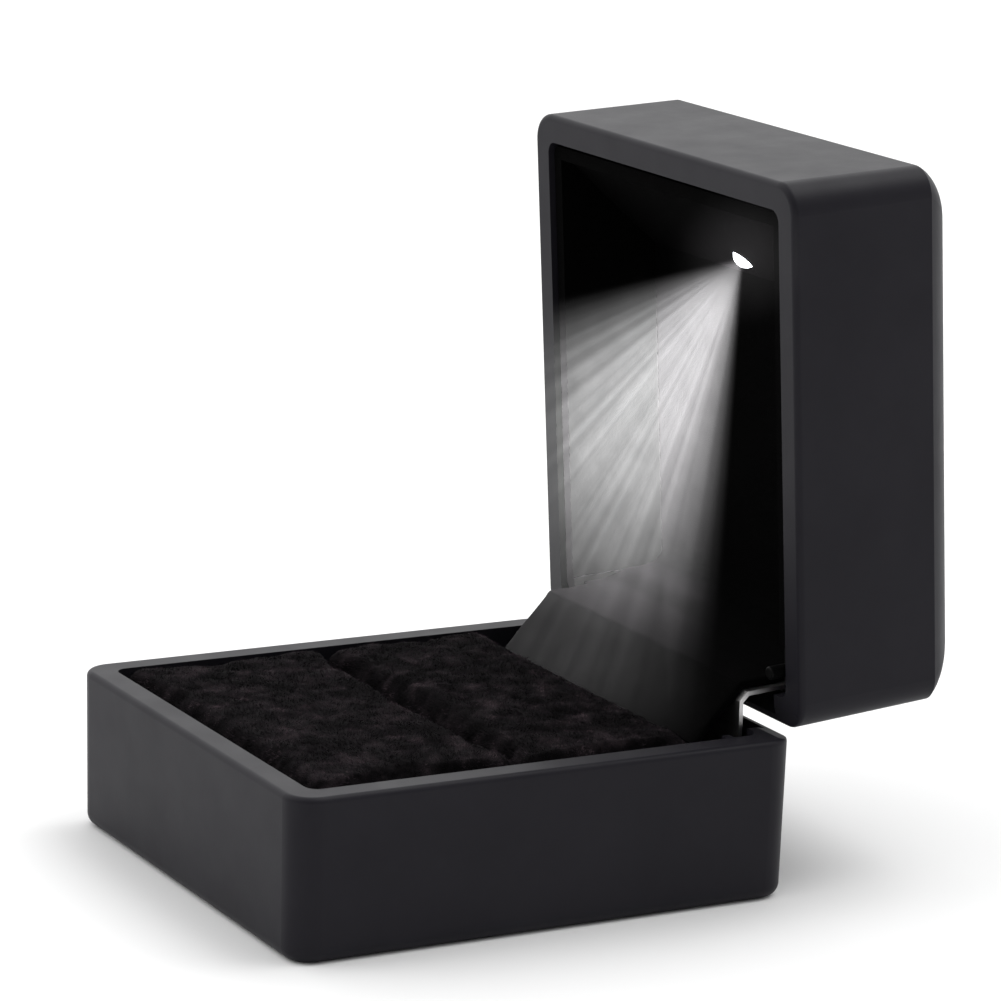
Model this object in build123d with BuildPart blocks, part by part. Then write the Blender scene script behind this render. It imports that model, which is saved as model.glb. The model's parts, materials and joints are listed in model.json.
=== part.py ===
"""Ring box with a lamp in its lid, modelled standing open. Millimetres.

Frame: X runs along the hinge, -Y is the front, +Z is up. The origin is the centre of the
base's underside. The lid is drawn on its own plane, LID, whose origin is the middle of its
rim: there +Z runs from the rim to the crown and -Y is still the front. The bent hinge link
is drawn on LINK, whose origin is the middle of the seam when the box is shut.
"""
from build123d import *

import math
import os

# ---- driving dimensions -------------------------------------------------------------
WIDTH = 60.0                 # along the hinge
DEPTH = 64.0                 # front to back
BASE_HEIGHT = 19.2
LID_WALL_HEIGHT = 18.5       # straight part of the lid's side
CEILING = 18.4               # inside of the lid, from the rim
DRAFT = 0.75                 # both shells are widest at the rim, in degrees
CROWN_RISE = 5.2             # dome above the straight part
CROWN_WIDTH = 8.6            # how far in the dome reaches before it is flat
CROWN_STEPS = 8
WALL = 3.3
TOP_WALL = 1.8
CORNER = 3.5                 # vertical corner radius, outside
INNER_CORNER = 1.5           # and inside
RIM_ROUND = 0.7
BEVEL_RUN = 2.0              # shallow relief behind the pins, so that the rear rims clear
BEVEL_RISE = 0.45            # each other as the lid swings
FOOT_ROUND = 1.6
OPEN_ANGLE = 86.0            # whole swing between shut and open

# hinge: two parallel pins, one in each rear wall, joined by a bent link
PIN_FROM_BACK = 1.9          # pin axis to the rear face
PIN_FROM_SEAM = 5.8          # pin axis to the rim
PIN_RADIUS = 0.5
PIN_LENGTH = 46.0
TIGHT_BORE = 0.51            # where the pin is held
RUNNING_BORE = 0.54          # where the link turns on it
KNUCKLE_RADIUS = 1.0
STEEL = 0.5
POCKET_HALF = 24.0           # pocket in the rear wall that takes the knuckles
POCKET_SKIN = 0.85
POCKET_DEPTH = 7.6
POCKET_OVERLAP = 1.0         # its cut runs on into the cavity
LEAF_KNUCKLES = ((-20.0, 6.0), (0.0, 8.0), (20.0, 6.0))      # middle and length along X
LINK_KNUCKLES = ((-10.5, 11.0), (10.5, 11.0))
LEAF_HALF = 22.5
LEAF_START = 1.6             # leaf plate's edges, from the pin
LEAF_END = 10.7
LEAF_SCREW = 7.0             # screws, from the pin
LEAF_SCREW_X = (-16.0, 0.0, 16.0)
LINK_HALF = 23.3
LINK_START = 1.8             # link's full width begins this far from the pin
LEG_ROOT = 0.3               # and its leg runs back this far beside the pin
LEG_OFFSET = 1.85            # middle of the link's leg to the pin axis
FLAT_OFFSET = 7.35           # middle of the link's flat to the plane of the pins
COVER_THICK = 1.0
COVER_GAP = 0.05             # glue line between the link and its cover
COVER_FROM = -23.4           # cover's ends along X
COVER_TO = 22.4
COVER_DROP = 8.0             # cover's lower edge, below the seam when shut
COVER_END = 0.6              # cover's upper edge, from the lid pin

# small screws, all alike
SCREW_RADIUS = 0.5
SCREW_HEAD = 1.0
SINK_RADIUS = 1.05
PILOT_RADIUS = 0.52
PILOT_DEPTH = 2.2
CLEAR_RADIUS = 0.6
SCREW_BITE = 2.0             # length in the plastic

# padded insert in the base
FLOOR = 1.8
TRAY_FLOOR = 1.2
TRAY_RIM = 3.0
TRAY_WALL = 0.8
INSERT_GAP = 0.3             # insert to the shell
REBATE = 1.1                 # pads stand over the tray's rim
REBATE_GAP = 0.1
PAD_TOP = 18.4
PAD_REAR = 20.8
SLOT_Y = -1.7                # ring slot, front to back
SLOT_WIDTH = 0.6

# lining in the lid, measured from the lid's rim
LINER_GAP = 0.5
LINER_REAR_GAP = 0.8
LINER_WALL = 1.6
LINER_START = 0.6
LINER_BACK = 13.5
LINER_PANEL = 1.0
NOTCH_DEPTH = 7.9            # cut-out that lets the hinge through
NOTCH_HALF = 24.2
NOTCH_FRONT = 22.4

# lamp, its board and its cell
LAMP_Y = -17.0
LAMP_Z = 11.2
LAMP_RADIUS = 1.6
LAMP_HOLE = 1.7
LAMP_FLANGE = 2.0
FLANGE_THICK = 0.8
LAMP_PROUD = 0.7
LAMP_BEHIND = 3.6
LEAD_RADIUS = 0.25
LEAD_HALF_PITCH = 1.27
LEAD_HOLE = 0.35
LEAD_RUN = 1.0               # straight out of the lamp's foot before the bend
LEAD_BEND = 0.5
LEAD_TAIL = 0.5              # above the board
BOARD_Z = 15.7
BOARD_THICK = 0.8
BOARD_WIDTH = 24.0
BOARD_CORNER = 1.0
BOARD_FRONT = -24.0
BOARD_REAR = 26.0
BOARD_SCREWS = ((-9.5, 22.0), (9.5, 22.0), (-9.5, -13.0), (9.5, -13.0))
BOSS_RADIUS = 1.8
HEAD_THICK = 0.7
CELL_Y = 4.0
CELL_RADIUS = 10.0
CELL_THICK = 2.5
CELL_EDGE = 0.3
HOLDER_BORE = 10.2
HOLDER_RADIUS = 11.5
CONTACT = 0.25
NEGATIVE_RADIUS = 4.0
STRAP_WIDTH = 4.0
RECESS_WIDTH = 40.0          # deeper part of the ceiling, over the cell
RECESS_DEPTH = 44.0

# switch that puts the lamp out as the box shuts
SWITCH_X = 25.15
SWITCH_Y = 25.6
SWITCH_WIDTH = 2.6
SWITCH_DEPTH = 4.4
SWITCH_FROM = 1.6
SWITCH_TO = 7.6
PLUNGER_RADIUS = 0.8
PLUNGER_BORE = 0.85
PLUNGER_ROUND = 0.24
PLUNGER_LENGTH = 5.8
BORE_LENGTH = 4.4            # blind bore the plunger slides in
PLUNGER_FREE = -1.35         # free tip, out past the rim
STRIKER_BELOW = 0.4          # fin it comes down on, below the base's rim
STRIKER_THICK = 1.0
FLEX_THICK = 0.15
FLEX_WIDTH = 3.0
FLEX_END = 11.0

# ---- places worked out from them ----------------------------------------------------
HALF_ANGLE = OPEN_ANGLE / 2
BACK = DEPTH / 2
INNER_WIDTH = WIDTH - 2 * WALL
INNER_DEPTH = DEPTH - 2 * WALL
INNER_BACK = INNER_DEPTH / 2
POCKET_BACK = BACK - POCKET_SKIN
PIN_Y = BACK - PIN_FROM_BACK
BASE_PIN_Z = BASE_HEIGHT - PIN_FROM_SEAM
LID_HEIGHT = LID_WALL_HEIGHT + CROWN_RISE
CROWN_EDGE = LID_WALL_HEIGHT * math.tan(math.radians(DRAFT))
PAD_FRONT = -INNER_BACK + INSERT_GAP
BOARD_TOP = BOARD_Z + BOARD_THICK
CELL_Z = BOARD_TOP + CONTACT
CELL_TOP = CELL_Z + CELL_THICK
HALF_ROOT = math.sqrt(0.5)   # sine and cosine of the lamp's slope
LEAD_Y = LAMP_Y - (LAMP_BEHIND + LEAD_RUN) * HALF_ROOT


def turned(y, z, degrees):
    """A (y, z) vector turned about X by the right-hand rule."""
    c = math.cos(math.radians(degrees))
    s = math.sin(math.radians(degrees))
    return y * c - z * s, y * s + z * c


def swung(y, z, degrees):
    """Plane through (0, y, z) that is level when shut, swung back by the angle."""
    normal_y, normal_z = turned(0, 1, -degrees)
    return Plane(origin=(0, y, z), x_dir=(1, 0, 0), z_dir=(0, normal_y, normal_z))


def opened_planes():
    """The link turns half the angle about the base pin and carries the lid pin round."""
    seam_y, seam_z = turned(-PIN_Y, PIN_FROM_SEAM, -HALF_ANGLE)
    link = swung(PIN_Y + seam_y, BASE_PIN_Z + seam_z, HALF_ANGLE)
    pin_y, pin_z = turned(0, 2 * PIN_FROM_SEAM, -HALF_ANGLE)
    rim_y, rim_z = turned(-PIN_Y, -PIN_FROM_SEAM, -OPEN_ANGLE)
    lid = swung(PIN_Y + pin_y + rim_y, BASE_PIN_Z + pin_z + rim_z, OPEN_ANGLE)
    return link, lid


LINK, LID = opened_planes()
SHUT = Plane.XY.offset(BASE_HEIGHT)


def across(frame, x=0.0):
    """Plane across the hinge: sketch X is the frame's Y and sketch Y is its Z."""
    return Plane(origin=frame.from_local_coords((x, 0, 0)), x_dir=frame.y_dir, z_dir=(1, 0, 0))


def facing_front(frame, y, z):
    """Plane on the rear wall's inner face, its normal towards the front."""
    origin = frame.from_local_coords((0, y, z))
    return Plane(origin=origin, x_dir=(1, 0, 0), z_dir=-frame.y_dir)


def finish(piece, label):
    piece.part.label = label
    export_step(piece.part, "parts/" + label + ".step")


# ---- shells -------------------------------------------------------------------------
def hinge_pocket(frame):
    """Outline at the rim of the pocket in the rear wall that takes the knuckles."""
    front = INNER_BACK - POCKET_OVERLAP
    with BuildSketch(frame) as outline:
        with Locations((0, (front + POCKET_BACK) / 2)):
            Rectangle(2 * POCKET_HALF, POCKET_BACK - front)
    return outline.sketch


def rear_bevel(frame, away):
    """Section of the bevel along the rear edge of a rim."""
    with BuildSketch(across(frame, -WIDTH / 2)) as section:
        with BuildLine():
            Polyline((BACK, away * BEVEL_RISE), (BACK - BEVEL_RUN, 0), (BACK, 0), close=True)
        make_face()
    return section.sketch


def leaf_pilots(frame, height):
    """Pilot holes for the leaf's screws in the rear wall's inner face."""
    with Locations(facing_front(frame, INNER_BACK, height)):
        with Locations([(x, 0) for x in LEAF_SCREW_X]):
            Hole(PILOT_RADIUS, depth=PILOT_DEPTH)


def make_base_shell():
    with BuildPart() as shell:
        with BuildSketch(SHUT):
            RectangleRounded(WIDTH, DEPTH, CORNER)
        extrude(amount=-BASE_HEIGHT, taper=DRAFT)
        fillet(shell.faces().sort_by(Axis.Z)[0].edges(), FOOT_ROUND)
        fillet(shell.faces().sort_by(Axis.Z)[-1].edges(), RIM_ROUND)
        with BuildSketch(Plane.XY.offset(FLOOR)):
            RectangleRounded(INNER_WIDTH, INNER_DEPTH, INNER_CORNER)
        extrude(amount=BASE_HEIGHT, mode=Mode.SUBTRACT)
        extrude(rear_bevel(SHUT, -1), amount=WIDTH, mode=Mode.SUBTRACT)
        extrude(hinge_pocket(SHUT), amount=-POCKET_DEPTH, mode=Mode.SUBTRACT)
        leaf_pilots(SHUT, -PIN_FROM_SEAM - LEAF_SCREW)
        # fin in the rear corner that the lid's switch comes down on
        fin_start = SWITCH_X - PLUNGER_RADIUS
        fin_end = INNER_WIDTH / 2 + WALL / 2
        with BuildSketch(Plane.XY.offset(FLOOR / 2)):
            with Locations(((fin_start + fin_end) / 2, SWITCH_Y)):
                Rectangle(fin_end - fin_start, STRIKER_THICK)
        extrude(amount=BASE_HEIGHT - STRIKER_BELOW - FLOOR / 2)
    finish(shell, "base_shell")


def crown_section(angle):
    """Height of the dome and its inset from the rim's outline, at a slope in radians."""
    start = 2 * math.atan(CROWN_RISE / CROWN_WIDTH)
    radius = CROWN_WIDTH / math.sin(start)
    height = LID_WALL_HEIGHT + CROWN_RISE - radius * (1 - math.cos(angle))
    return height, CROWN_EDGE + CROWN_WIDTH - radius * math.sin(angle)


def make_lid_shell():
    steepest = 2 * math.atan(CROWN_RISE / CROWN_WIDTH)
    with BuildPart() as shell:
        with BuildSketch(LID):
            RectangleRounded(WIDTH, DEPTH, CORNER)
        extrude(amount=LID_WALL_HEIGHT, taper=DRAFT)
        rim = shell.faces().sort_by(Axis(LID.origin, LID.z_dir))[0]
        fillet(rim.edges(), RIM_ROUND)
        for step in range(CROWN_STEPS):
            height, inset = crown_section(steepest * (1 - step / (CROWN_STEPS - 1)))
            with BuildSketch(LID.offset(height)):
                RectangleRounded(WIDTH - 2 * inset, DEPTH - 2 * inset, CORNER - CROWN_EDGE)
        loft()
        with BuildSketch(LID):
            RectangleRounded(INNER_WIDTH, INNER_DEPTH, INNER_CORNER)
        extrude(amount=CEILING, mode=Mode.SUBTRACT)
        with BuildSketch(LID):
            RectangleRounded(RECESS_WIDTH, RECESS_DEPTH, INNER_CORNER)
        extrude(amount=LID_HEIGHT - TOP_WALL, mode=Mode.SUBTRACT)
        extrude(rear_bevel(LID, 1), amount=WIDTH, mode=Mode.SUBTRACT)
        extrude(hinge_pocket(LID), amount=POCKET_DEPTH, mode=Mode.SUBTRACT)
        leaf_pilots(LID, PIN_FROM_SEAM + LEAF_SCREW)
        # bosses that carry the lamp's board
        with BuildSketch(LID.offset(BOARD_TOP)):
            with Locations(BOARD_SCREWS):
                Circle(BOSS_RADIUS)
        extrude(amount=LID_HEIGHT - TOP_WALL / 2 - BOARD_TOP)
        with BuildSketch(LID.offset(BOARD_TOP)):
            with Locations(BOARD_SCREWS):
                Circle(PILOT_RADIUS)
        extrude(amount=PILOT_DEPTH, mode=Mode.SUBTRACT)
    finish(shell, "lid_shell")


# ---- hinge --------------------------------------------------------------------------
def hinge_leaf(frame, away, label):
    """Leaf on a rear wall. away is -1 where the wall runs down from the rim, +1 where up."""
    pin_z = away * PIN_FROM_SEAM
    start = pin_z + away * LEAF_START
    end = pin_z + away * LEAF_END
    with BuildPart() as leaf:
        with BuildSketch(across(frame, -LEAF_HALF)):
            with Locations((INNER_BACK - STEEL / 2, (start + end) / 2)):
                Rectangle(STEEL, LEAF_END - LEAF_START)
        extrude(amount=2 * LEAF_HALF)
        for middle, length in LEAF_KNUCKLES:
            with BuildSketch(across(frame, middle - length / 2)):
                with BuildLine():
                    Polyline(
                        (INNER_BACK - STEEL, start),
                        (INNER_BACK - STEEL, pin_z),
                        (PIN_Y, pin_z),
                        (PIN_Y, pin_z + away * KNUCKLE_RADIUS),
                        (INNER_BACK, start),
                        close=True,
                    )
                make_face()
                with Locations((PIN_Y, pin_z)):
                    Circle(KNUCKLE_RADIUS)
                    Circle(TIGHT_BORE, mode=Mode.SUBTRACT)
            extrude(amount=length)
        with Locations(facing_front(frame, INNER_BACK - STEEL, pin_z + away * LEAF_SCREW)):
            with Locations([(x, 0) for x in LEAF_SCREW_X]):
                CounterSinkHole(CLEAR_RADIUS, SINK_RADIUS)
    finish(leaf, label)


def hinge_pin(frame, height, label):
    with BuildPart() as pin:
        with BuildSketch(across(frame, -PIN_LENGTH / 2)):
            with Locations((PIN_Y, height)):
                Circle(PIN_RADIUS)
        extrude(amount=PIN_LENGTH)
    finish(pin, label)


def leaf_screws(frame, height, label):
    """Countersunk screws, their heads flush with the leaf's face."""
    face = facing_front(frame, INNER_BACK - STEEL, height)
    with BuildPart() as screws:
        with BuildSketch(face):
            with Locations([(x, 0) for x in LEAF_SCREW_X]):
                Circle(SCREW_HEAD)
        extrude(amount=-(SCREW_HEAD - SCREW_RADIUS), taper=45)
        with BuildSketch(face):
            with Locations([(x, 0) for x in LEAF_SCREW_X]):
                Circle(SCREW_RADIUS)
        extrude(amount=-(STEEL + SCREW_BITE))
    finish(screws, label)


def link_point(offset, along):
    """Point on the LINK plane beside the base pin: offset inwards, along the open leg."""
    y, z = turned(-offset, along, HALF_ANGLE)
    return PIN_Y + y, -PIN_FROM_SEAM + z


def leg_at(offset, y):
    """Where the leg's line at the given offset reaches depth y on the LINK plane."""
    near = link_point(offset, 0)
    far = link_point(offset, 1)
    along = (y - near[0]) / (far[0] - near[0])
    return link_point(offset, along)


def make_hinge_link():
    """Steel strip with a leg to each pin and a short flat between them."""
    inner = LEG_OFFSET + STEEL / 2
    outer = LEG_OFFSET - STEEL / 2
    flat = PIN_Y - FLAT_OFFSET
    with BuildPart() as link:
        with BuildSketch(across(LINK, -LINK_HALF)):
            with BuildLine():
                Polyline(
                    (flat - STEEL / 2, 0),
                    leg_at(inner, flat - STEEL / 2),
                    link_point(inner, LINK_START),
                    link_point(outer, LINK_START),
                    leg_at(outer, flat + STEEL / 2),
                    (flat + STEEL / 2, 0),
                    close=True,
                )
            make_face()
            mirror(about=Plane.XZ)
        extrude(amount=2 * LINK_HALF)
        for middle, length in LINK_KNUCKLES:
            with BuildSketch(across(LINK, middle - length / 2)):
                with BuildLine():
                    Polyline(
                        link_point(inner, LINK_START),
                        link_point(inner, LEG_ROOT),
                        link_point(0, 0),
                        link_point(0, KNUCKLE_RADIUS),
                        link_point(outer, KNUCKLE_RADIUS),
                        link_point(outer, LINK_START),
                        close=True,
                    )
                make_face()
                with Locations((PIN_Y, -PIN_FROM_SEAM)):
                    Circle(KNUCKLE_RADIUS)
                    Circle(RUNNING_BORE, mode=Mode.SUBTRACT)
                mirror(about=Plane.XZ)
            extrude(amount=length)
    finish(link, "hinge_link")


def make_hinge_cover():
    """Velvet-covered strip on the link that hides the hinge."""
    back = PIN_Y - FLAT_OFFSET - STEEL / 2 - COVER_GAP
    front = back - COVER_THICK
    under = LEG_OFFSET + STEEL / 2 + COVER_GAP
    over = under + COVER_THICK

    def upper(point):
        return point[0], -point[1]

    with BuildPart() as cover:
        with BuildSketch(across(LINK, COVER_FROM)):
            with BuildLine():
                Polyline(
                    (front, -COVER_DROP),
                    (back, -COVER_DROP),
                    upper(leg_at(under, back)),
                    upper(link_point(under, COVER_END)),
                    upper(link_point(over, COVER_END)),
                    upper(leg_at(over, front)),
                    close=True,
                )
            make_face()
        extrude(amount=COVER_TO - COVER_FROM)
    finish(cover, "hinge_cover")


# ---- padded insert ------------------------------------------------------------------
def make_pad_tray():
    """Low tray that both pads are glued into."""
    width = INNER_WIDTH - 2 * INSERT_GAP
    depth = PAD_REAR - PAD_FRONT
    inner_width = width - 2 * TRAY_WALL
    inner_depth = depth - 2 * TRAY_WALL
    with BuildPart() as tray:
        with BuildSketch(Plane.XY.offset(FLOOR)):
            with Locations((0, (PAD_FRONT + PAD_REAR) / 2)):
                RectangleRounded(width, depth, INNER_CORNER)
        extrude(amount=TRAY_FLOOR + TRAY_RIM)
        with BuildSketch(Plane.XY.offset(FLOOR + TRAY_FLOOR)):
            with Locations((0, (PAD_FRONT + PAD_REAR) / 2)):
                RectangleRounded(inner_width, inner_depth, INNER_CORNER - TRAY_WALL)
        extrude(amount=TRAY_RIM, mode=Mode.SUBTRACT)
    finish(tray, "pad_tray")


def ring_pad(front, rear, front_rebate, rear_rebate, label):
    """Foam pad under velvet. Its foot is narrower, to stand inside the tray's rim."""
    width = INNER_WIDTH - 2 * INSERT_GAP
    foot = FLOOR + TRAY_FLOOR
    step = foot + TRAY_RIM + REBATE_GAP
    foot_front = front + front_rebate
    foot_rear = rear - rear_rebate
    with BuildPart() as pad:
        with BuildSketch(Plane.XY.offset(step)):
            with Locations((0, (front + rear) / 2)):
                RectangleRounded(width, rear - front, INNER_CORNER)
        extrude(amount=PAD_TOP - step)
        with BuildSketch(Plane.XY.offset(foot)):
            with Locations((0, (foot_front + foot_rear) / 2)):
                Rectangle(width - 2 * REBATE, foot_rear - foot_front)
        extrude(amount=step - foot)
    finish(pad, label)


# ---- lining -------------------------------------------------------------------------
def make_lid_liner():
    """Moulded tray under the velvet: walls, back panel and the slope that holds the lamp."""
    half = INNER_WIDTH / 2 - LINER_GAP
    front = -INNER_BACK + LINER_GAP
    rear = INNER_BACK - LINER_REAR_GAP
    inner_front = front + LINER_WALL
    inner_rear = rear - LINER_WALL
    inner_half = half - LINER_WALL
    face = LAMP_Z - LAMP_Y                          # z - y all along the slope's face
    behind = face + LINER_PANEL / HALF_ROOT
    top = LINER_BACK + LINER_PANEL
    above = top + LINER_PANEL
    with BuildPart() as liner:
        with BuildSketch(LID.offset(LINER_START)):
            with Locations((0, (front + rear) / 2)):
                RectangleRounded(2 * half, rear - front, INNER_CORNER - LINER_GAP)
        extrude(amount=top - LINER_START)
        with BuildSketch(across(LID, -inner_half)):
            with BuildLine():
                Polyline(
                    (inner_rear, 0),
                    (inner_front, 0),
                    (inner_front, inner_front + face),
                    (LINER_BACK - face, LINER_BACK),
                    (inner_rear, LINER_BACK),
                    close=True,
                )
            make_face()
            with BuildLine():
                Polyline(
                    (inner_front, inner_front + behind),
                    (above - behind, above),
                    (inner_front, above),
                    close=True,
                )
            make_face()
        extrude(amount=2 * inner_half, mode=Mode.SUBTRACT)
        with BuildSketch(LAMP):
            Circle(LAMP_HOLE)
        extrude(amount=LINER_PANEL * 2, both=True, mode=Mode.SUBTRACT)
        # cut-outs for the hinge and for the switch beside it
        with BuildSketch(LID):
            with Locations((0, inner_rear)):
                Rectangle(2 * NOTCH_HALF, 3 * LINER_WALL)
            with Locations((inner_half, (NOTCH_FRONT + INNER_BACK) / 2)):
                Rectangle(2 * (inner_half - LINK_HALF), INNER_BACK - NOTCH_FRONT)
            with Locations((half, (NOTCH_FRONT + INNER_BACK) / 2)):
                Rectangle(2 * LINER_WALL, INNER_BACK - NOTCH_FRONT)
        extrude(amount=NOTCH_DEPTH, mode=Mode.SUBTRACT)
    finish(liner, "lid_liner")


# ---- lamp ---------------------------------------------------------------------------
LAMP = Plane(
    origin=LID.from_local_coords((0, LAMP_Y, LAMP_Z)),
    x_dir=(1, 0, 0),
    z_dir=LID.y_dir - LID.z_dir,
)


def make_lamp_lens():
    """Clear round lamp body, domed towards the ring."""
    shoulder = LAMP_PROUD - LAMP_RADIUS
    with BuildPart() as lens:
        with BuildSketch(LAMP.offset(-LAMP_BEHIND)):
            Circle(LAMP_FLANGE)
        extrude(amount=FLANGE_THICK)
        with BuildSketch(LAMP.offset(-LAMP_BEHIND)):
            Circle(LAMP_RADIUS)
        extrude(amount=LAMP_BEHIND + shoulder)
        with Locations(LAMP.offset(shoulder)):
            Sphere(LAMP_RADIUS)
    finish(lens, "lamp_lens")


def make_lamp_leads():
    """Two wire legs from the lamp's foot up through the board."""
    foot = (LAMP_Y - LAMP_BEHIND * HALF_ROOT, LAMP_Z + LAMP_BEHIND * HALF_ROOT)
    bend = (LEAD_Y, LAMP_Z + (LAMP_Y - LEAD_Y))
    with BuildPart() as leads:
        for side in (-LEAD_HALF_PITCH, LEAD_HALF_PITCH):
            with BuildLine(across(LID, side)) as path:
                FilletPolyline(foot, bend, (LEAD_Y, BOARD_TOP + LEAD_TAIL), radius=LEAD_BEND)
            with BuildSketch(Plane(origin=path.line @ 0, z_dir=path.line % 0)):
                Circle(LEAD_RADIUS)
            sweep()
    finish(leads, "lamp_leads")


def make_lamp_board():
    with BuildPart() as board:
        with BuildSketch(LID.offset(BOARD_Z)):
            with Locations((0, (BOARD_FRONT + BOARD_REAR) / 2)):
                RectangleRounded(BOARD_WIDTH, BOARD_REAR - BOARD_FRONT, BOARD_CORNER)
            with Locations(BOARD_SCREWS):
                Circle(CLEAR_RADIUS, mode=Mode.SUBTRACT)
            with Locations((-LEAD_HALF_PITCH, LEAD_Y), (LEAD_HALF_PITCH, LEAD_Y)):
                Circle(LEAD_HOLE, mode=Mode.SUBTRACT)
        extrude(amount=BOARD_THICK)
    finish(board, "lamp_board")


def make_board_screws():
    with BuildPart() as screws:
        with BuildSketch(LID.offset(BOARD_Z)):
            with Locations(BOARD_SCREWS):
                Circle(SCREW_HEAD)
        extrude(amount=-HEAD_THICK)
        with BuildSketch(LID.offset(BOARD_Z)):
            with Locations(BOARD_SCREWS):
                Circle(SCREW_RADIUS)
        extrude(amount=BOARD_THICK + SCREW_BITE)
    finish(screws, "board_screws")


def make_coin_cell():
    with BuildPart() as cell:
        with BuildSketch(LID.offset(CELL_Z)):
            with Locations((0, CELL_Y)):
                Circle(CELL_RADIUS)
        extrude(amount=CELL_THICK)
        fillet(cell.edges().filter_by(GeomType.CIRCLE), CELL_EDGE)
    finish(cell, "coin_cell")


def make_cell_holder():
    with BuildPart() as holder:
        with BuildSketch(LID.offset(BOARD_TOP)):
            with Locations((0, CELL_Y)):
                Circle(HOLDER_RADIUS)
                Circle(HOLDER_BORE, mode=Mode.SUBTRACT)
        extrude(amount=CELL_THICK)
    finish(holder, "cell_holder")


def make_contacts():
    """Sprung disc under the cell, and a strap over it that comes down at the board's edge."""
    edge = BOARD_WIDTH / 2
    with BuildPart() as negative:
        with BuildSketch(LID.offset(BOARD_TOP)):
            with Locations((0, CELL_Y)):
                Circle(NEGATIVE_RADIUS)
        extrude(amount=CONTACT)
    finish(negative, "negative_contact")
    with BuildPart() as positive:
        with BuildSketch(LID.offset(CELL_TOP)):
            with Locations((edge / 2, CELL_Y)):
                Rectangle(edge, STRAP_WIDTH)
        extrude(amount=CONTACT)
        with BuildSketch(LID.offset(BOARD_TOP)):
            with Locations((edge - CONTACT / 2, CELL_Y)):
                Rectangle(CONTACT, STRAP_WIDTH)
        extrude(amount=CELL_TOP - BOARD_TOP)
    finish(positive, "positive_contact")


# ---- switch -------------------------------------------------------------------------
def make_switch():
    with BuildPart() as body:
        with BuildSketch(LID.offset(SWITCH_FROM)):
            with Locations((SWITCH_X, SWITCH_Y)):
                Rectangle(SWITCH_WIDTH, SWITCH_DEPTH)
        extrude(amount=SWITCH_TO - SWITCH_FROM)
        with BuildSketch(LID.offset(SWITCH_FROM)):
            with Locations((SWITCH_X, SWITCH_Y)):
                Circle(PLUNGER_BORE)
        extrude(amount=BORE_LENGTH, mode=Mode.SUBTRACT)
    finish(body, "switch_body")
    with BuildPart() as plunger:
        with BuildSketch(LID.offset(PLUNGER_FREE)):
            with Locations((SWITCH_X, SWITCH_Y)):
                Circle(PLUNGER_RADIUS)
        extrude(amount=PLUNGER_LENGTH)
        fillet(plunger.edges().filter_by(GeomType.CIRCLE), PLUNGER_ROUND)
    finish(plunger, "switch_plunger")


def make_switch_flex():
    """Flat flexible strip from the switch, up beside the lining and across to the board."""
    outside = SWITCH_X + SWITCH_WIDTH / 2
    with BuildPart() as flex:
        with BuildSketch(LID.offset(SWITCH_TO)):
            with Locations((outside - FLEX_THICK / 2, SWITCH_Y)):
                Rectangle(FLEX_THICK, FLEX_WIDTH)
        extrude(amount=BOARD_Z - SWITCH_TO)
        with BuildSketch(LID.offset(BOARD_Z - FLEX_THICK)):
            with Locations(((outside + FLEX_END) / 2, SWITCH_Y)):
                Rectangle(outside - FLEX_END, FLEX_WIDTH)
        extrude(amount=FLEX_THICK)
    finish(flex, "switch_flex")


os.makedirs("parts", exist_ok=True)
make_base_shell()
hinge_leaf(SHUT, -1, "base_hinge_leaf")
hinge_pin(SHUT, -PIN_FROM_SEAM, "base_hinge_pin")
leaf_screws(SHUT, -PIN_FROM_SEAM - LEAF_SCREW, "base_hinge_screws")
make_pad_tray()
ring_pad(PAD_FRONT, SLOT_Y - SLOT_WIDTH / 2, REBATE, 0, "front_ring_pad")
ring_pad(SLOT_Y + SLOT_WIDTH / 2, PAD_REAR, 0, REBATE, "rear_ring_pad")
make_hinge_link()
make_hinge_cover()
make_lid_shell()
hinge_leaf(LID, 1, "lid_hinge_leaf")
hinge_pin(LID, PIN_FROM_SEAM, "lid_hinge_pin")
leaf_screws(LID, PIN_FROM_SEAM + LEAF_SCREW, "lid_hinge_screws")
make_lid_liner()
make_lamp_lens()
make_lamp_leads()
make_lamp_board()
make_board_screws()
make_coin_cell()
make_cell_holder()
make_contacts()
make_switch()
make_switch_flex()
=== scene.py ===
"""Looks of the ring box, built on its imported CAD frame. Metres, Blender 4.5."""

import json
import math

import bmesh
import bpy
import numpy as np
from mathutils import Matrix, Vector, noise

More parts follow.
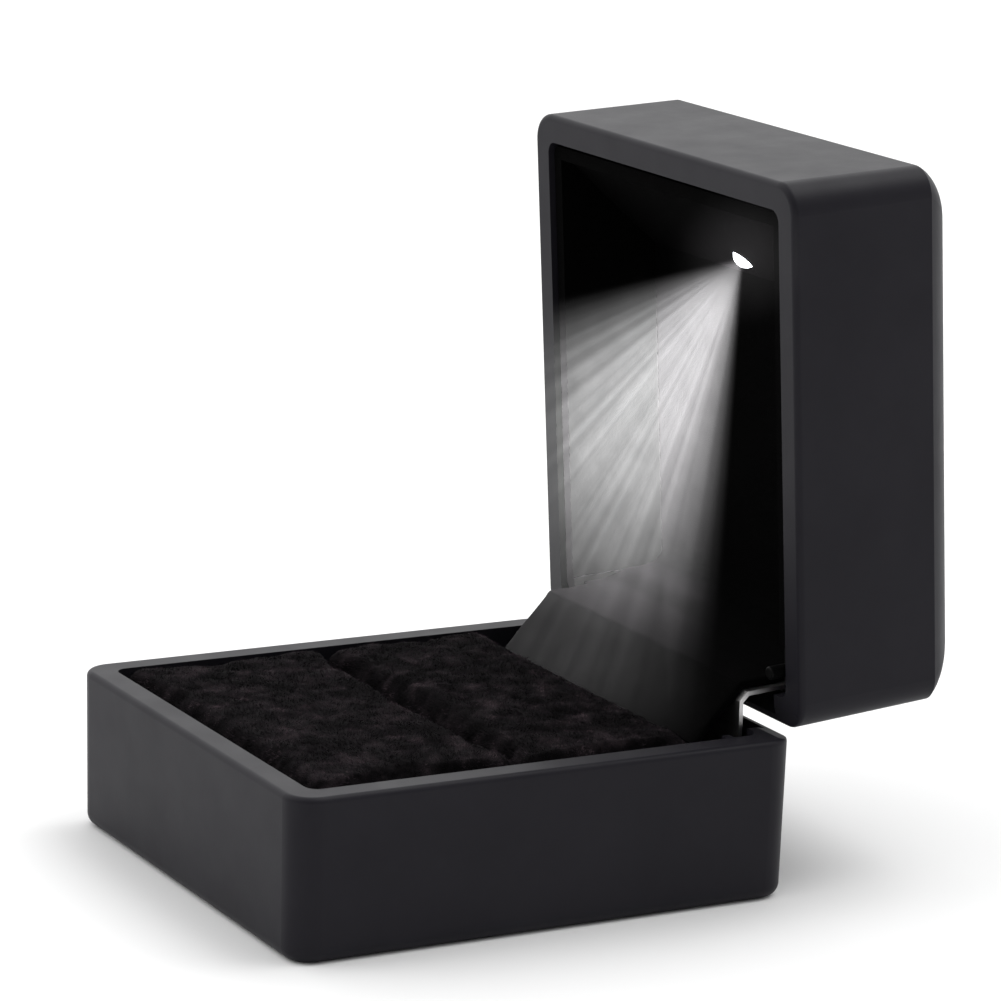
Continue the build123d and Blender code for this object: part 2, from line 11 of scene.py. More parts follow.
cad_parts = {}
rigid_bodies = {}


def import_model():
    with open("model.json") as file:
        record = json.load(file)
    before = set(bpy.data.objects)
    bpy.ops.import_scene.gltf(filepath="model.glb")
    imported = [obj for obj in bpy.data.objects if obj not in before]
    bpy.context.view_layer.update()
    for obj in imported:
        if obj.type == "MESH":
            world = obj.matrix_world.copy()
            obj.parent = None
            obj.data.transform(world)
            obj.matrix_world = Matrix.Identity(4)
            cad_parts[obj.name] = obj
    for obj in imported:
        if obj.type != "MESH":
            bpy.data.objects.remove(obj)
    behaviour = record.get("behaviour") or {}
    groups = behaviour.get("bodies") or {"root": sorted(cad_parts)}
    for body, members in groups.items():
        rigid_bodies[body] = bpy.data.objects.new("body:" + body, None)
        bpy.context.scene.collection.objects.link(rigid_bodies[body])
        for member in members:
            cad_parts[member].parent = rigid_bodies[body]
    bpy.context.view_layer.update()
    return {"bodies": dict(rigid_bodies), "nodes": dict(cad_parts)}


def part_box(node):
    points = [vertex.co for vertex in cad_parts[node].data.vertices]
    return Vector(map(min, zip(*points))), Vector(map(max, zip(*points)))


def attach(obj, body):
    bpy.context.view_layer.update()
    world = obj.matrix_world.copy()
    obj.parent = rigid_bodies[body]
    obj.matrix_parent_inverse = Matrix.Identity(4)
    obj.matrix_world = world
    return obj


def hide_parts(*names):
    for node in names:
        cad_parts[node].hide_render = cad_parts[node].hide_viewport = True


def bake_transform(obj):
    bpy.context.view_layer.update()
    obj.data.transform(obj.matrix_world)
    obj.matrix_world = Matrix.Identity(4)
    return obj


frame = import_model()
NODES = frame["nodes"]
BODIES = frame["bodies"]
MM = 0.001

# noise_vector shifts its pattern by a seed, which Blender takes from the clock if none is set
NOISE_SEED = 1794858563
noise.seed_set(NOISE_SEED)

# ---- materials ------------------------------------------------------------------------
class Surface:
    """A node material with the few node patterns that every surface here uses."""

    def __init__(self, name, **values):
        self.material = bpy.data.materials.new(name)
        self.material.use_nodes = True
        self.tree = self.material.node_tree
        self.shader = self.tree.nodes["Principled BSDF"]
        self.coords = self.tree.nodes.new("ShaderNodeTexCoord").outputs["Object"]
        for key, value in values.items():
            title = key.replace("_", " ").title().replace("Ior", "IOR")
            self.shader.inputs[title].default_value = value

    def noise(self, scale, detail=3.0, rough=0.5, stretch=(1, 1, 1)):
        mapping = self.tree.nodes.new("ShaderNodeMapping")
        mapping.inputs["Scale"].default_value = stretch
        self.tree.links.new(self.coords, mapping.inputs["Vector"])
        node = self.tree.nodes.new("ShaderNodeTexNoise")
        node.inputs["Scale"].default_value = scale
        node.inputs["Detail"].default_value = detail
        node.inputs["Roughness"].default_value = rough
        self.tree.links.new(mapping.outputs["Vector"], node.inputs["Vector"])
        return node.outputs["Fac"]

    def ramp(self, factor, *stops):
        node = self.tree.nodes.new("ShaderNodeValToRGB")
        elements = node.color_ramp.elements
        while len(elements) < len(stops):
            elements.new(0.5)
        for element, (place, colour) in zip(elements, stops):
            element.position = place
            element.color = (*colour, 1)
        self.tree.links.new(factor, node.inputs["Fac"])
        return node.outputs["Color"]

    def colour(self, source):
        self.tree.links.new(source, self.shader.inputs["Base Color"])

    def roughness(self, factor, low, high):
        node = self.tree.nodes.new("ShaderNodeMapRange")
        node.inputs["To Min"].default_value = low
        node.inputs["To Max"].default_value = high
        self.tree.links.new(factor, node.inputs["Value"])
        self.tree.links.new(node.outputs["Result"], self.shader.inputs["Roughness"])

    def bumps(self, *layers):
        """Each layer is a height, its strength and its depth in metres."""
        normal = None
        for height, strength, depth in layers:
            node = self.tree.nodes.new("ShaderNodeBump")
            node.inputs["Strength"].default_value = strength
            node.inputs["Distance"].default_value = depth
            self.tree.links.new(height, node.inputs["Height"])
            if normal:
                self.tree.links.new(normal, node.inputs["Normal"])
            normal = node.outputs["Normal"]
        self.tree.links.new(normal, self.shader.inputs["Normal"])


def grey(level, warmth=0.0):
    return (level * (1 + warmth), level, level * (1 - warmth))


def soft_touch():
    """Rubbery matt black paint: fine grain, and faint cloudiness from handling."""
    s = Surface("soft_touch_black", specular_ior_level=0.12)
    clouds = s.noise(55, 4, 0.6)
    s.colour(s.ramp(clouds, (0.3, (0.0096, 0.0089, 0.0122)), (0.7, (0.0132, 0.0123, 0.0162))))
    s.roughness(s.noise(160, 5, 0.6), 0.40, 0.54)
    s.bumps((s.noise(5200, 2), 0.16, 0.05 * MM), (s.noise(900, 3), 0.05, 0.05 * MM))
    return s.material


def moulded(name, level, gloss):
    s = Surface(name, specular_ior_level=gloss)
    s.colour(s.ramp(s.noise(240, 3), (0.3, grey(level)), (0.7, grey(level * 1.7))))
    s.roughness(s.noise(500, 4), 0.38, 0.55)
    s.bumps((s.noise(2600, 3), 0.2, 0.05 * MM))
    return s.material


def flocked():
    """Short smooth velvet on the lining: nearly black, with the nap's soft bloom."""
    s = Surface("flocked_velvet", specular_ior_level=0.01, sheen_weight=0.004, sheen_roughness=0.5,
                sheen_tint=(0.66, 0.62, 0.66, 1))
    nap = s.noise(260, 5, 0.6)
    s.colour(s.ramp(nap, (0.3, (0.0011, 0.0011, 0.0011)), (0.72, (0.0015, 0.0015, 0.0015))))
    s.roughness(s.noise(900, 3), 0.85, 1.0)
    s.bumps((s.noise(7200, 2, 0.7), 0.5, 0.08 * MM), (s.noise(420, 3), 0.08, 0.12 * MM))
    return s.material


def plush():
    """Longer pile on the pads, brushed into patches, with painted sheen: random patches of its colour
    are lighter brown and plum, as nap catching the light would be.
    """
    s = Surface("plush_velvet", specular_ior_level=0.03, sheen_weight=0.03, sheen_roughness=0.4,
                sheen_tint=(0.66, 0.56, 0.62, 1))
    nap_and_painted_sheen = s.noise(330, 4, 0.6)
    # painted sheen: random patches of the pad colour are made lighter brown and plum, in place of the
    # light that brushed nap catches
    s.colour(s.ramp(nap_and_painted_sheen, (0.36, (0.0010, 0.0009, 0.0010)), (0.52, (0.0045, 0.0038, 0.0043)),
                    (0.72, (0.020, 0.0155, 0.0175))))
    s.roughness(s.noise(1100, 3), 0.85, 1.0)
    s.bumps((s.noise(4600, 3, 0.75), 0.8, 0.14 * MM), (s.noise(520, 4), 0.5, 0.3 * MM))
    return s.material


def fibre():
    """Single fibres of the pile: most are black; some, at random, have a painted sheen, a lighter brown
    and plum colour in place of the light they would catch.
    """
    s = Surface("plush_fibre", specular_ior_level=0.02)
    painted_fibre_sheen = s.noise(340, 6, 0.68)
    # painted sheen: fibres picked at random get lighter brown and plum colours that stand in for the
    # light on the pile
    s.colour(s.ramp(painted_fibre_sheen, (0.41, (0.0026, 0.0023, 0.0028)), (0.49, (0.0105, 0.0086, 0.0106)),
                    (0.56, (0.038, 0.029, 0.035)), (0.66, (0.115, 0.085, 0.096))))
    s.roughness(s.noise(3000, 2), 0.5, 0.75)
    s.bumps((s.noise(9000, 1), 0.2, 0.02 * MM))
    return s.material


def brushed_steel(name, tone, low, high, stretch):
    s = Surface(name, metallic=1.0)
    drawn = s.noise(900, 4, 0.6, stretch)
    s.colour(s.ramp(drawn, (0.25, grey(tone * 0.82, 0.01)), (0.75, grey(tone, 0.0))))
    s.roughness(s.noise(1400, 4, 0.6, stretch), low, high)
    s.bumps((s.noise(3200, 3, 0.6, stretch), 0.12, 0.02 * MM))
    return s.material


def lit_lens():
    """Clear epoxy round a lit chip: white hot in the middle of the dome."""
    s = Surface("lamp_epoxy", emission_strength=4.0, transmission_weight=0.2, roughness=0.1)
    frost = s.noise(1800, 2)
    s.colour(s.ramp(frost, (0.3, (0.9, 0.93, 1.0)), (0.7, (0.98, 0.99, 1.0))))
    glow = s.ramp(frost, (0.25, (0.93, 0.96, 1.0)), (0.75, (1.0, 1.0, 1.0)))
    s.tree.links.new(glow, s.shader.inputs["Emission Color"])
    s.roughness(s.noise(2500, 2), 0.06, 0.16)
    s.bumps((s.noise(2500, 2), 0.05, 0.02 * MM))
    return s.material


def circuit_board():
    s = Surface("circuit_board", specular_ior_level=0.5, coat_weight=0.3, coat_roughness=0.2)
    weave = s.noise(1600, 2, 0.5, (1, 0.2, 1))
    s.colour(s.ramp(weave, (0.3, (0.018, 0.11, 0.045)), (0.7, (0.035, 0.19, 0.08))))
    s.roughness(s.noise(700, 3), 0.25, 0.45)
    s.bumps((s.noise(3600, 2), 0.2, 0.03 * MM))
    return s.material


def amber_film():
    s = Surface("amber_film", specular_ior_level=0.5)
    s.colour(s.ramp(s.noise(420, 3), (0.3, (0.40, 0.19, 0.045)), (0.7, (0.60, 0.33, 0.09))))
    s.roughness(s.noise(900, 3), 0.2, 0.4)
    s.bumps((s.noise(1500, 2), 0.15, 0.02 * MM))
    return s.material


def pale_floor():
    s = Surface("pale_floor", specular_ior_level=0.1)
    s.colour(s.ramp(s.noise(3, 3), (0.3, grey(0.86)), (0.7, grey(0.88))))
    s.roughness(s.noise(20, 3), 0.8, 0.95)
    s.bumps((s.noise(300, 3), 0.05, 0.1 * MM))
    return s.material


ALONG_X = (0.06, 1, 1)      # pattern drawn out along X
PAINT = soft_touch()
MOULDED = moulded("moulded_black", 0.014, 0.4)
SWITCH = moulded("switch_black", 0.0015, 0.06)
FLOCK = flocked()
PLUSH = plush()
FIBRE = fibre()
STEEL = brushed_steel("spring_steel", 0.62, 0.24, 0.42, ALONG_X)
TINNED = brushed_steel("tinned_strip", 0.70, 0.2, 0.36, ALONG_X)
PLATED = brushed_steel("plated_can", 0.74, 0.12, 0.3, (1, 1, 1))
LENS = lit_lens()
BOARD = circuit_board()
FILM = amber_film()

FINISHES = {
    PAINT: ("base_shell", "lid_shell"),
    MOULDED: ("pad_tray", "cell_holder"),
    SWITCH: ("switch_body", "switch_plunger"),
    FLOCK: ("lid_liner",),
    STEEL: ("base_hinge_leaf", "base_hinge_pin", "base_hinge_screws", "hinge_link",
            "lid_hinge_leaf", "lid_hinge_pin", "lid_hinge_screws", "board_screws"),
    TINNED: ("lamp_leads", "negative_contact", "positive_contact"),
    PLATED: ("coin_cell",),
    LENS: ("lamp_lens",),
    BOARD: ("lamp_board",),
    FILM: ("switch_flex",),
}
for finish, names in FINISHES.items():
    for name in names:
        NODES[name].data.materials.clear()
        NODES[name].data.materials.append(finish)


# ---- padded pieces --------------------------------------------------------------------
def applied(obj):
    """The object's mesh with its modifiers applied, in place of the old one."""
    depsgraph = bpy.context.evaluated_depsgraph_get()
    mesh = bpy.data.meshes.new_from_object(obj.evaluated_get(depsgraph))
    obj.modifiers.clear()
    old = obj.data
    obj.data = mesh
    bpy.data.meshes.remove(old)


def remeshed(node, name, voxel):
    """A new object with the node's shape in small even faces."""
    obj = bpy.data.objects.new(name, NODES[node].data.copy())
    bpy.context.scene.collection.objects.link(obj)
    modifier = obj.modifiers.new("even", "REMESH")
    modifier.mode = "VOXEL"
    modifier.voxel_size = voxel
    applied(obj)
    return obj


def points(obj):
    co = np.empty(len(obj.data.vertices) * 3)
    obj.data.vertices.foreach_get("co", co)
    return co.reshape(-1, 3)


def set_points(obj, co):
    obj.data.vertices.foreach_set("co", co.ravel())
    obj.data.update()


GROWN = 10.0          # cloth is stepped at ten times the size, where it is steady
CLOTH_FRAMES = 16
PAD_VOXEL = 1.1 * MM
PAD_PRESSURE = 4.0
PAD_TRAVEL = 1.2 * MM     # the furthest that the pressure may push a point


def inflated(obj, pressure, cap):
    """Blow the closed cloth up under pressure, moving no point further than the cap."""
    start = points(obj)
    set_points(obj, start * GROWN)
    cloth = obj.modifiers.new("cloth", "CLOTH")
    settings = cloth.settings
    settings.quality = 6
    settings.mass = 0.3
    settings.tension_stiffness = 12
    settings.compression_stiffness = 12
    settings.bending_stiffness = 2
    settings.use_pressure = True
    settings.uniform_pressure_force = pressure
    settings.effector_weights.gravity = 0
    cloth.point_cache.frame_start = 1
    cloth.point_cache.frame_end = CLOTH_FRAMES
    for step in range(1, CLOTH_FRAMES + 1):
        bpy.context.scene.frame_set(step)
    applied(obj)
    bpy.context.scene.frame_set(1)
    moved = points(obj) / GROWN - start
    length = np.linalg.norm(moved, axis=1, keepdims=True)
    set_points(obj, start + moved * np.minimum(1, cap / np.maximum(length, 1e-9)))


def smooth_subdivided(obj, levels=1):
    modifier = obj.modifiers.new("smooth", "SUBSURF")
    modifier.levels = levels
    modifier.render_levels = levels
    applied(obj)
    for face in obj.data.polygons:
        face.use_smooth = True


def dressed(obj, material):
    obj.data.materials.clear()
    obj.data.materials.append(material)


PAD_CROWN = 1.15 * MM      # how far a pad stands proud of its CAD solid, in the middle
PAD_EDGE = 0.8 * MM        # how far in its top takes to level off
PAD_SQUARE = 0.62          # how much of that its very edge keeps
PAD_SIDE = 0.25 * MM       # it fills the gap to the wall by this much
PAD_UPPER = 3 * MM         # depth of the layer, under its top, that takes the crown
TUFT = 0.26 * MM           # height of its lumps, and how many of them there are to a metre
TUFTS = 380
DIP = 0.5 * MM             # how much lower a pad lies along the ring slot
DIP_RUN = 5 * MM
DENSITY = 18.0e6           # fibres on a square metre
FIBRE_LENGTH = 0.42 * MM
FIBRE_WIDTH = 0.045 * MM
PILE_DEPTH = 1.2 * MM      # fibres grow down to here, under the CAD pads' top


def make_pad(node, name, dip=0.0):
    """Foam pad under plush: blown up as cloth, then dressed to the box it sits in.

    dip is how much lower its front edge lies than the rest.
    """
    low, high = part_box(node)
    pad = remeshed(node, name, PAD_VOXEL)
    inflated(pad, PAD_PRESSURE, PAD_TRAVEL)
    smooth_subdivided(pad)
    co = points(pad)
    for axis in (0, 1):
        co[:, axis] = np.clip(co[:, axis], low[axis] - PAD_SIDE, high[axis] + PAD_SIDE)
    inset = np.minimum(np.minimum(co[:, 0] - low[0], high[0] - co[:, 0]),
                       np.minimum(co[:, 1] - low[1], high[1] - co[:, 1]))
    rise = np.clip(inset / PAD_EDGE, 0, 1)
    crown = PAD_CROWN * (PAD_SQUARE + (1 - PAD_SQUARE) * (1 - (1 - rise) ** 2))
    upper = np.clip((co[:, 2] - (high[2] - PAD_UPPER)) / PAD_UPPER, 0, 1)
    co[:, 2] = np.clip(co[:, 2], low[2], high[2])
    tufts = np.array([noise.fractal(Vector(p) * TUFTS, 1.0, 2.0, 3) for p in co])
    sag = dip * (1 - np.clip((co[:, 1] - low[1]) / DIP_RUN, 0, 1)) ** 2
    co[:, 2] += upper * (crown - sag + TUFT * tufts * rise)
    set_points(pad, co)
    dressed(pad, PLUSH)
    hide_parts(node)
    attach(pad, "base")
    return pad


def pile(parent, name, count, length, width, lowest, seed, body):
    """Fine fibres standing on the upward faces of a piece, brushed this way and that."""
    rng = np.random.default_rng(seed)
    mesh = parent.data
    mesh.calc_loop_triangles()
    tris = np.array([t.vertices for t in mesh.loop_triangles])
    co = points(parent)
    a, b, c = co[tris[:, 0]], co[tris[:, 1]], co[tris[:, 2]]
    normals = np.cross(b - a, c - a)
    areas = np.linalg.norm(normals, axis=1)
    normals /= np.maximum(areas, 1e-15)[:, None]
    areas = areas * ((a[:, 2] > lowest) & (normals[:, 2] > -0.2))
    picks = rng.choice(len(tris), count, p=areas / areas.sum())
    u, v = rng.random((2, count))
    flip = u + v > 1
    u[flip], v[flip] = 1 - u[flip], 1 - v[flip]
    roots = a[picks] + (b - a)[picks] * u[:, None] + (c - a)[picks] * v[:, None]
    nap = np.array([noise.noise_vector(Vector(p) * 260) for p in roots])
    lean = nap * 1.5 + rng.normal(0, 0.45, (count, 3))
    grow = normals[picks] + lean * np.array([1, 1, 0.3])
    grow /= np.linalg.norm(grow, axis=1)[:, None]
    size = length * rng.uniform(0.55, 1.25, (count, 1))
    side = np.cross(grow, rng.normal(0, 1, (count, 3)))
    side *= width / 2 / np.linalg.norm(side, axis=1)[:, None]
    low = roots - grow * length * 0.2
    mid = roots + grow * size * 0.55
    droop = np.array([0, 0, 1.0]) * length * 0.22
    tip = roots + grow * size - droop
    verts = np.stack([low - side, low + side, mid + side * 0.8, tip, mid - side * 0.8], 1)
    faces = np.arange(count * 5).reshape(-1, 5)
    fibres = bpy.data.meshes.new(name)
    fibres.from_pydata(verts.reshape(-1, 3).tolist(), [], faces.tolist())
    obj = bpy.data.objects.new(name, fibres)
    bpy.context.scene.collection.objects.link(obj)
    dressed(obj, FIBRE)
    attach(obj, body)
    return obj


front_pad = make_pad("front_ring_pad", "front_plush_pad")
rear_pad = make_pad("rear_ring_pad", "rear_plush_pad", DIP)
pad_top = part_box("front_ring_pad")[1].z
for pad, seed in ((front_pad, 11), (rear_pad, 12)):
    spread = pad.dimensions.x * pad.dimensions.y
    pile(pad, pad.name + ".pile", int(spread * DENSITY), FIBRE_LENGTH, FIBRE_WIDTH,
         pad_top - PILE_DEPTH, seed, "base")


COVER_VOXEL = 0.32 * MM
COVER_UNEVEN = 0.06 * MM


def make_cover():
    """Velvet strip over the hinge, its edges softened and its face a little uneven."""
    cover = remeshed("hinge_cover", "hinge_velvet", COVER_VOXEL)
    start = points(cover)
    smoothing = cover.modifiers.new("soft", "SMOOTH")
    smoothing.factor = 0.5
    smoothing.iterations = 6
    applied(cover)
    co = points(cover)
    low, high = start.min(0), start.max(0)
    co += np.array([noise.noise_vector(Vector(p) * 120) for p in co]) * COVER_UNEVEN
    set_points(cover, np.clip(co, low, high))
    smooth_subdivided(cover)
    dressed(cover, FLOCK)
    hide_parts("hinge_cover")
    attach(cover, "link")
    return cover


cover = make_cover()

FLAP_RIDE = 0.12 * MM         # how far it stands off what it is glued to
FLAP_ON_COVER = 3.6 * MM      # how far it reaches down the cover
FLAP_FILLET = 3.2 * MM        # how far before the back wall it starts to curve up
FLAP_UP = 7.0 * MM            # how far up the wall it goes
FLAP_LEFT = 0.55 * MM         # how far past the cover's left end it goes
FLAP_CELL = 0.35 * MM
FLAP_UNEVEN = 0.05 * MM


def make_flap():
    """Velvet strip from the cover, over the lid's pin and the lining's sill, up the lining's wall.
    """
    low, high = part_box("hinge_cover")
    # the cover's upper end, away from its corners
    skin = points(cover)
    brim = skin[:, 1].max()
    end = skin[(skin[:, 1] > brim - 0.8 * MM) & (abs(skin[:, 0]) < 15 * MM)][:, 2].max()
    # the sill is the lining's upper edge at the pin, and its corner is where it meets the back
    pin = sum(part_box("lid_hinge_pin"), Vector()) / 2
    liner = NODES["lid_liner"]
    lining = np.array([liner.matrix_world @ v.co for v in liner.data.vertices])
    sill = lining[(abs(lining[:, 1] - pin.y) < 5 * MM) & (lining[:, 2] < pin.z + 6 * MM)]
    edge = sill[np.argmax(sill[:, 2] - sill[:, 1])]
    inner = lining[(abs(lining[:, 0]) > abs(edge[0]) - 0.5 * MM) & (lining[:, 2] > edge[2])
                   & (lining[:, 2] < edge[2] + 1.5 * MM) & (lining[:, 1] > edge[1] + 3 * MM)]
    corner = inner[np.argmin(inner[:, 1] - inner[:, 2])]
    tilt = (corner[2] - edge[2]) / (corner[1] - edge[1])
    along = Vector((0, 1, tilt)).normalized()
    wall = Vector((0, -tilt, 1)).normalized()
    rim = Vector((0, brim, end))
    lip = Vector((0, edge[1], edge[2]))
    turn = Vector((0, corner[1], corner[2]))
    # down the cover, over the gap, along the sill, round the fillet and up the back
    path = [rim - along * FLAP_ON_COVER, rim - along * FLAP_ON_COVER * 0.5, rim,
            rim + (lip - rim) * 0.5 + wall * 0.1 * MM, lip, lip + along * 1.2 * MM,
            turn - along * FLAP_FILLET, turn - along * 1.2 * MM + wall * 0.35 * MM,
            turn - along * 0.35 * MM + wall * 1.2 * MM,
            turn + wall * FLAP_FILLET, turn + wall * FLAP_UP]
    knots = np.array([p + wall * FLAP_RIDE for p in path])
    run = np.concatenate([[0], np.cumsum(np.linalg.norm(np.diff(knots, axis=0), axis=1))])
    rows = int(run[-1] / FLAP_CELL)
    places = np.linspace(0, run[-1], rows)
    curve = np.stack([np.interp(places, run, knots[:, k]) for k in (1, 2)], 1)
    for _ in range(6):
        curve[1:-1] = (curve[:-2] + 2 * curve[1:-1] + curve[2:]) / 4
    left, right = low.x - FLAP_LEFT, high.x
    columns = int((right - left) / FLAP_CELL)
    verts = [(x, y, z) for x in np.linspace(left, right, columns) for y, z in curve]
    verts = [Vector(v) + noise.noise_vector(Vector(v) * 140) * FLAP_UNEVEN for v in verts]
    faces = [(c * rows + k, (c + 1) * rows + k, (c + 1) * rows + k + 1, c * rows + k + 1)
             for c in range(columns - 1) for k in range(rows - 1)]
    mesh = bpy.data.meshes.new("hinge_flap")
    mesh.from_pydata(verts, [], faces)
    flap = bpy.data.objects.new("hinge_flap", mesh)
    bpy.context.scene.collection.objects.link(flap)
    smooth_subdivided(flap)
    dressed(flap, FLOCK)
    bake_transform(flap)
    return flap


flap = make_flap()

# ---- floor, light and camera ----------------------------------------------------------
def make_floor():
    mesh = bpy.data.meshes.new("floor")
    grid = bmesh.new()
    bmesh.ops.create_grid(grid, x_segments=4, y_segments=4, size=6)
    grid.to_mesh(mesh)
    grid.free()
    floor = bpy.data.objects.new("floor", mesh)
    bpy.context.scene.collection.objects.link(floor)
    mesh.materials.append(pale_floor())


make_floor()


class Maths:
    """Short names for the maths nodes of one tree. Values may be numbers or sockets."""

    def __init__(self, tree):
        self.tree = tree

    def do(self, operation, *values):
        node = self.tree.nodes.new("ShaderNodeMath")
        node.operation = operation
        for socket, value in zip(node.inputs, values):
            if isinstance(value, (int, float)):
                socket.default_value = value
            else:
                self.tree.links.new(value, socket)
        return node.outputs["Value"]

    def blend(self, value, start, end, low=0.0, high=1.0):
        """Smooth step of a value between start and end, from low to high."""
        node = self.tree.nodes.new("ShaderNodeMapRange")
        node.interpolation_type = "SMOOTHSTEP"
        for name, number in (("From Min", start), ("From Max", end), ("To Min", low), ("To Max", high)):
            node.inputs[name].default_value = number
        self.tree.links.new(value, node.inputs["Value"])
        return node.outputs["Result"]


def make_world():
    """White backdrop. It lights the box most from behind its left, and least from the right."""
    world = bpy.data.worlds.new("studio")
    bpy.context.scene.world = world
    world.use_nodes = True
    tree = world.node_tree
    m = Maths(tree)
    split = tree.nodes.new("ShaderNodeSeparateXYZ")
    tree.links.new(tree.nodes.new("ShaderNodeTexCoord").outputs["Generated"], split.inputs["Vector"])
    sideways = m.do("MULTIPLY_ADD", split.outputs["X"], -0.75, 0.92)
    behind = m.do("MULTIPLY_ADD", split.outputs["Y"], 0.22, sideways)
    overhead = m.do("MULTIPLY_ADD", split.outputs["Z"], 0.25, behind)
    lighting = m.do("MAXIMUM", overhead, 0.05)
    seen = tree.nodes.new("ShaderNodeLightPath").outputs["Is Camera Ray"]
    strength = m.do("MAXIMUM", lighting, seen)
    tree.links.new(strength, tree.nodes["Background"].inputs["Strength"])
    tree.nodes["Background"].inputs["Color"].default_value = (1, 1, 1, 1)


make_world()
bpy.context.scene.view_settings.view_transform = "Standard"


def looking(place, target, up=Vector((0, 0, 1))):
    """Matrix of a light or camera at a place, its -Z towards the target."""
    back = (place - target).normalized()
    right = up.cross(back).normalized()
    turn = Matrix((right, back.cross(right), back)).transposed()
    return Matrix.Translation(place) @ turn.to_4x4()


def area_light(name, place, size, power):
    data = bpy.data.lights.new(name, "AREA")
    data.size = size
    data.energy = power
    light = bpy.data.objects.new(name, data)
    bpy.context.scene.collection.objects.link(light)
    light.matrix_world = looking(Vector(place), Vector((0, 0, 0.03)))
    return light


# a soft key from the front left, and a broad light over the box and behind it
area_light("key", (-0.35, -0.75, 0.85), 0.5, 1.6)
area_light("overhead", (0.1, 0.5, 1.05), 0.7, 4.6)

AZIMUTH = math.radians(61.315)
ELEVATION = math.radians(13.202)
ROLL = math.radians(1.772)
DISTANCE = 536.8 * MM
OFFSET_RIGHT = 8.721 * MM
OFFSET_UP = 42.208 * MM
FOCAL = 163.5

back = Vector((math.sin(AZIMUTH) * math.cos(ELEVATION),
               -math.cos(AZIMUTH) * math.cos(ELEVATION), math.sin(ELEVATION)))
level = Vector((math.cos(AZIMUTH), math.sin(AZIMUTH), 0))
upright = back.cross(level)
right = level * math.cos(ROLL) + upright * math.sin(ROLL)
up = upright * math.cos(ROLL) - level * math.sin(ROLL)
camera_data = bpy.data.cameras.new("camera")
camera_data.sensor_width = 36
camera_data.lens = FOCAL
camera_data.clip_start = 0.01
camera_data.clip_end = 20
camera = bpy.data.objects.new("camera", camera_data)
bpy.context.scene.collection.objects.link(camera)
camera.matrix_world = (Matrix.Translation(right * OFFSET_RIGHT + up * OFFSET_UP + back * DISTANCE)
                       @ Matrix((right, up, back)).transposed().to_4x4())
bpy.context.scene.camera = camera

# ---- the lamp's fan of light ------------------------------------------------------------
BEAM = 4300.0
RIM_BEAM = 300.0              # less on the lid's paint, which is lighter than velvet,
RIM_TINT = (0.93, 1.0, 0.76)  # and warmer, as the paint is bluish
TIP_LEFT = 1.1 * MM           # the dome's lit tip, from the middle of the lens, as it is seen
TIP_DOWN = 1.1 * MM
REACH = 0.4                   # the spot stands this far out, towards the camera at rest
RAYS = 0.36                   # rays to a degree
WALL_LEAN = 0.0213            # the lining's corner, as it is seen, nears the lamp as it goes down
WALL_SHARE = 0.8              # the side wall faces the lamp more squarely, so it gets less


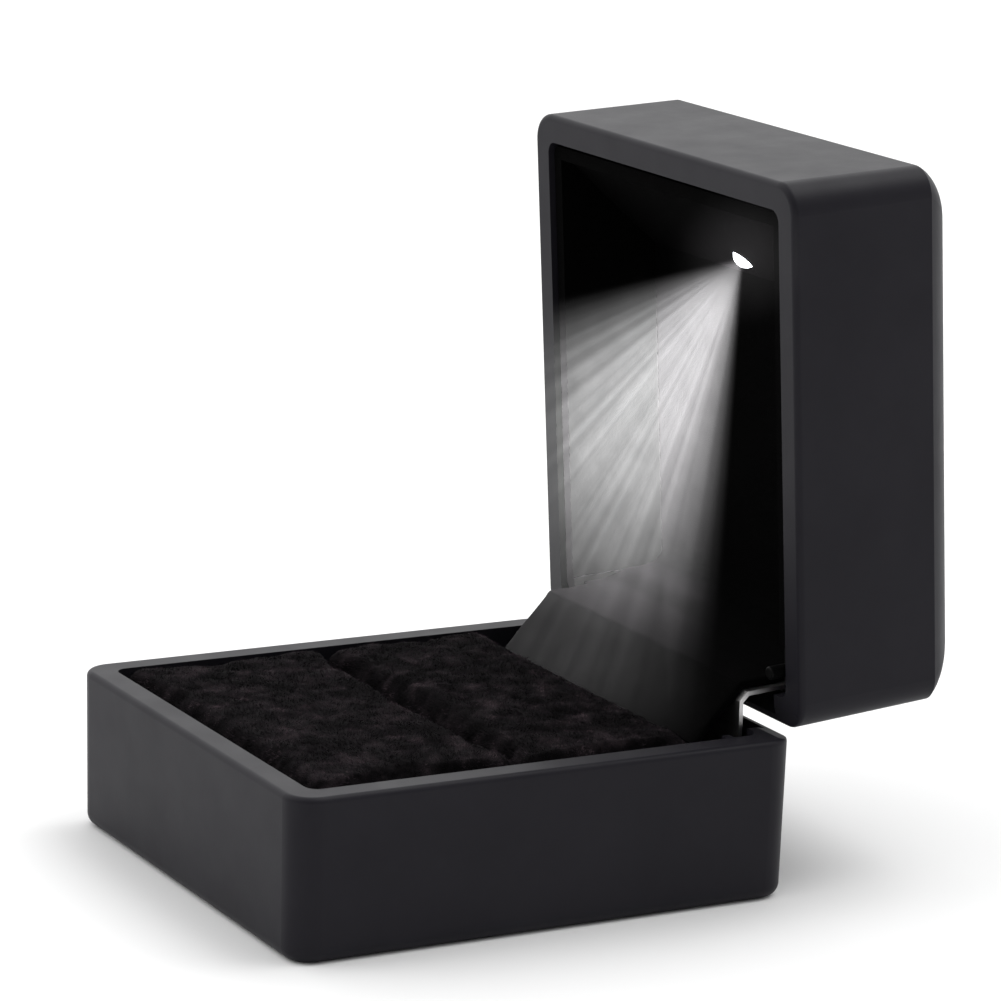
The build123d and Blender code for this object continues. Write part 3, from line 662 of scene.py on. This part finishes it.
def make_beam(name, power, tint, pieces):
    """The fan that the lamp throws, as a shaped spot of some power that only these pieces get.

    Its rays are laid out round the lamp, in degrees downwards from level on the left and in
    millimetres away from it. The lining, the hinge's velvet and the flap are all that shade it.
    """
    low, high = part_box("lamp_lens")
    lamp = (low + high) / 2 - right * TIP_LEFT - up * TIP_DOWN
    data = bpy.data.lights.new(name, "SPOT")
    data.energy = 1.0
    data.color = tint
    data.spot_size = math.radians(30)
    data.spot_blend = 0.1
    data.shadow_soft_size = 0.2 * MM
    data.use_nodes = True
    tree = data.node_tree
    m = Maths(tree)
    split = tree.nodes.new("ShaderNodeSeparateXYZ")
    tree.links.new(tree.nodes.new("ShaderNodeTexCoord").outputs["Normal"], split.inputs["Vector"])
    left = m.do("MULTIPLY", m.do("DIVIDE", split.outputs["X"], split.outputs["Z"]), REACH / MM)
    down = m.do("MULTIPLY", m.do("DIVIDE", split.outputs["Y"], split.outputs["Z"]), REACH / MM)
    angle = m.do("DEGREES", m.do("ARCTAN2", down, left))
    away = m.do("SQRT", m.do("ADD", m.do("MULTIPLY", left, left), m.do("MULTIPLY", down, down)))
    fan = m.do("MULTIPLY", m.blend(angle, 12, 56), m.blend(angle, 67, 86.5, 1, 0))
    near = m.do("MULTIPLY", m.blend(away, -2, 8), m.blend(away, 18, 50, 1, 0.07))
    along = m.do("MULTIPLY", near, m.blend(away, 49, 64, 1, 0))
    places = tree.nodes.new("ShaderNodeCombineXYZ")
    tree.links.new(m.do("MULTIPLY", angle, RAYS), places.inputs["X"])
    tree.links.new(m.do("MULTIPLY", away, 0.002), places.inputs["Y"])
    rays = tree.nodes.new("ShaderNodeTexNoise")
    rays.noise_dimensions = "2D"
    rays.inputs["Scale"].default_value = 1.0
    rays.inputs["Detail"].default_value = 4.0
    tree.links.new(places.outputs["Vector"], rays.inputs["Vector"])
    streaks = m.blend(rays.outputs["Fac"], 0.32, 0.68, 0.8, 1.1)
    halo = m.blend(away, 0, 9, 0.02, 0)
    corner = m.do("MULTIPLY_ADD", down, WALL_LEAN, left)
    evened = m.do("MULTIPLY", fan, m.blend(corner, 10.1, 10.5, 1, WALL_SHARE))
    shape = m.do("ADD", m.do("MULTIPLY", m.do("MULTIPLY", evened, along), streaks), halo)
    emission = next(n for n in tree.nodes if n.type == "EMISSION")
    tree.links.new(m.do("MULTIPLY", shape, power), emission.inputs["Strength"])
    beam = bpy.data.objects.new(name, data)
    bpy.context.scene.collection.objects.link(beam)
    towards = (camera.matrix_world.translation - lamp).normalized()
    beam.matrix_world = looking(lamp + towards * REACH, lamp, up)
    lit = bpy.data.collections.new(name + "_lights")
    for obj in pieces:
        lit.objects.link(obj)
    shade = bpy.data.collections.new(name + "_shade")
    for obj in LINING:
        shade.objects.link(obj)
    beam.light_linking.receiver_collection = lit
    beam.light_linking.blocker_collection = shade
    bpy.context.view_layer.update()
    world_place = beam.matrix_world.copy()
    beam.parent = BODIES["lid"]
    beam.matrix_world = world_place


LINING = (NODES["lid_liner"], cover, flap)
make_beam("lamp_fan", BEAM, (1, 1, 1), LINING)
make_beam("lamp_fan_on_rim", RIM_BEAM, RIM_TINT, (NODES["lid_shell"],))
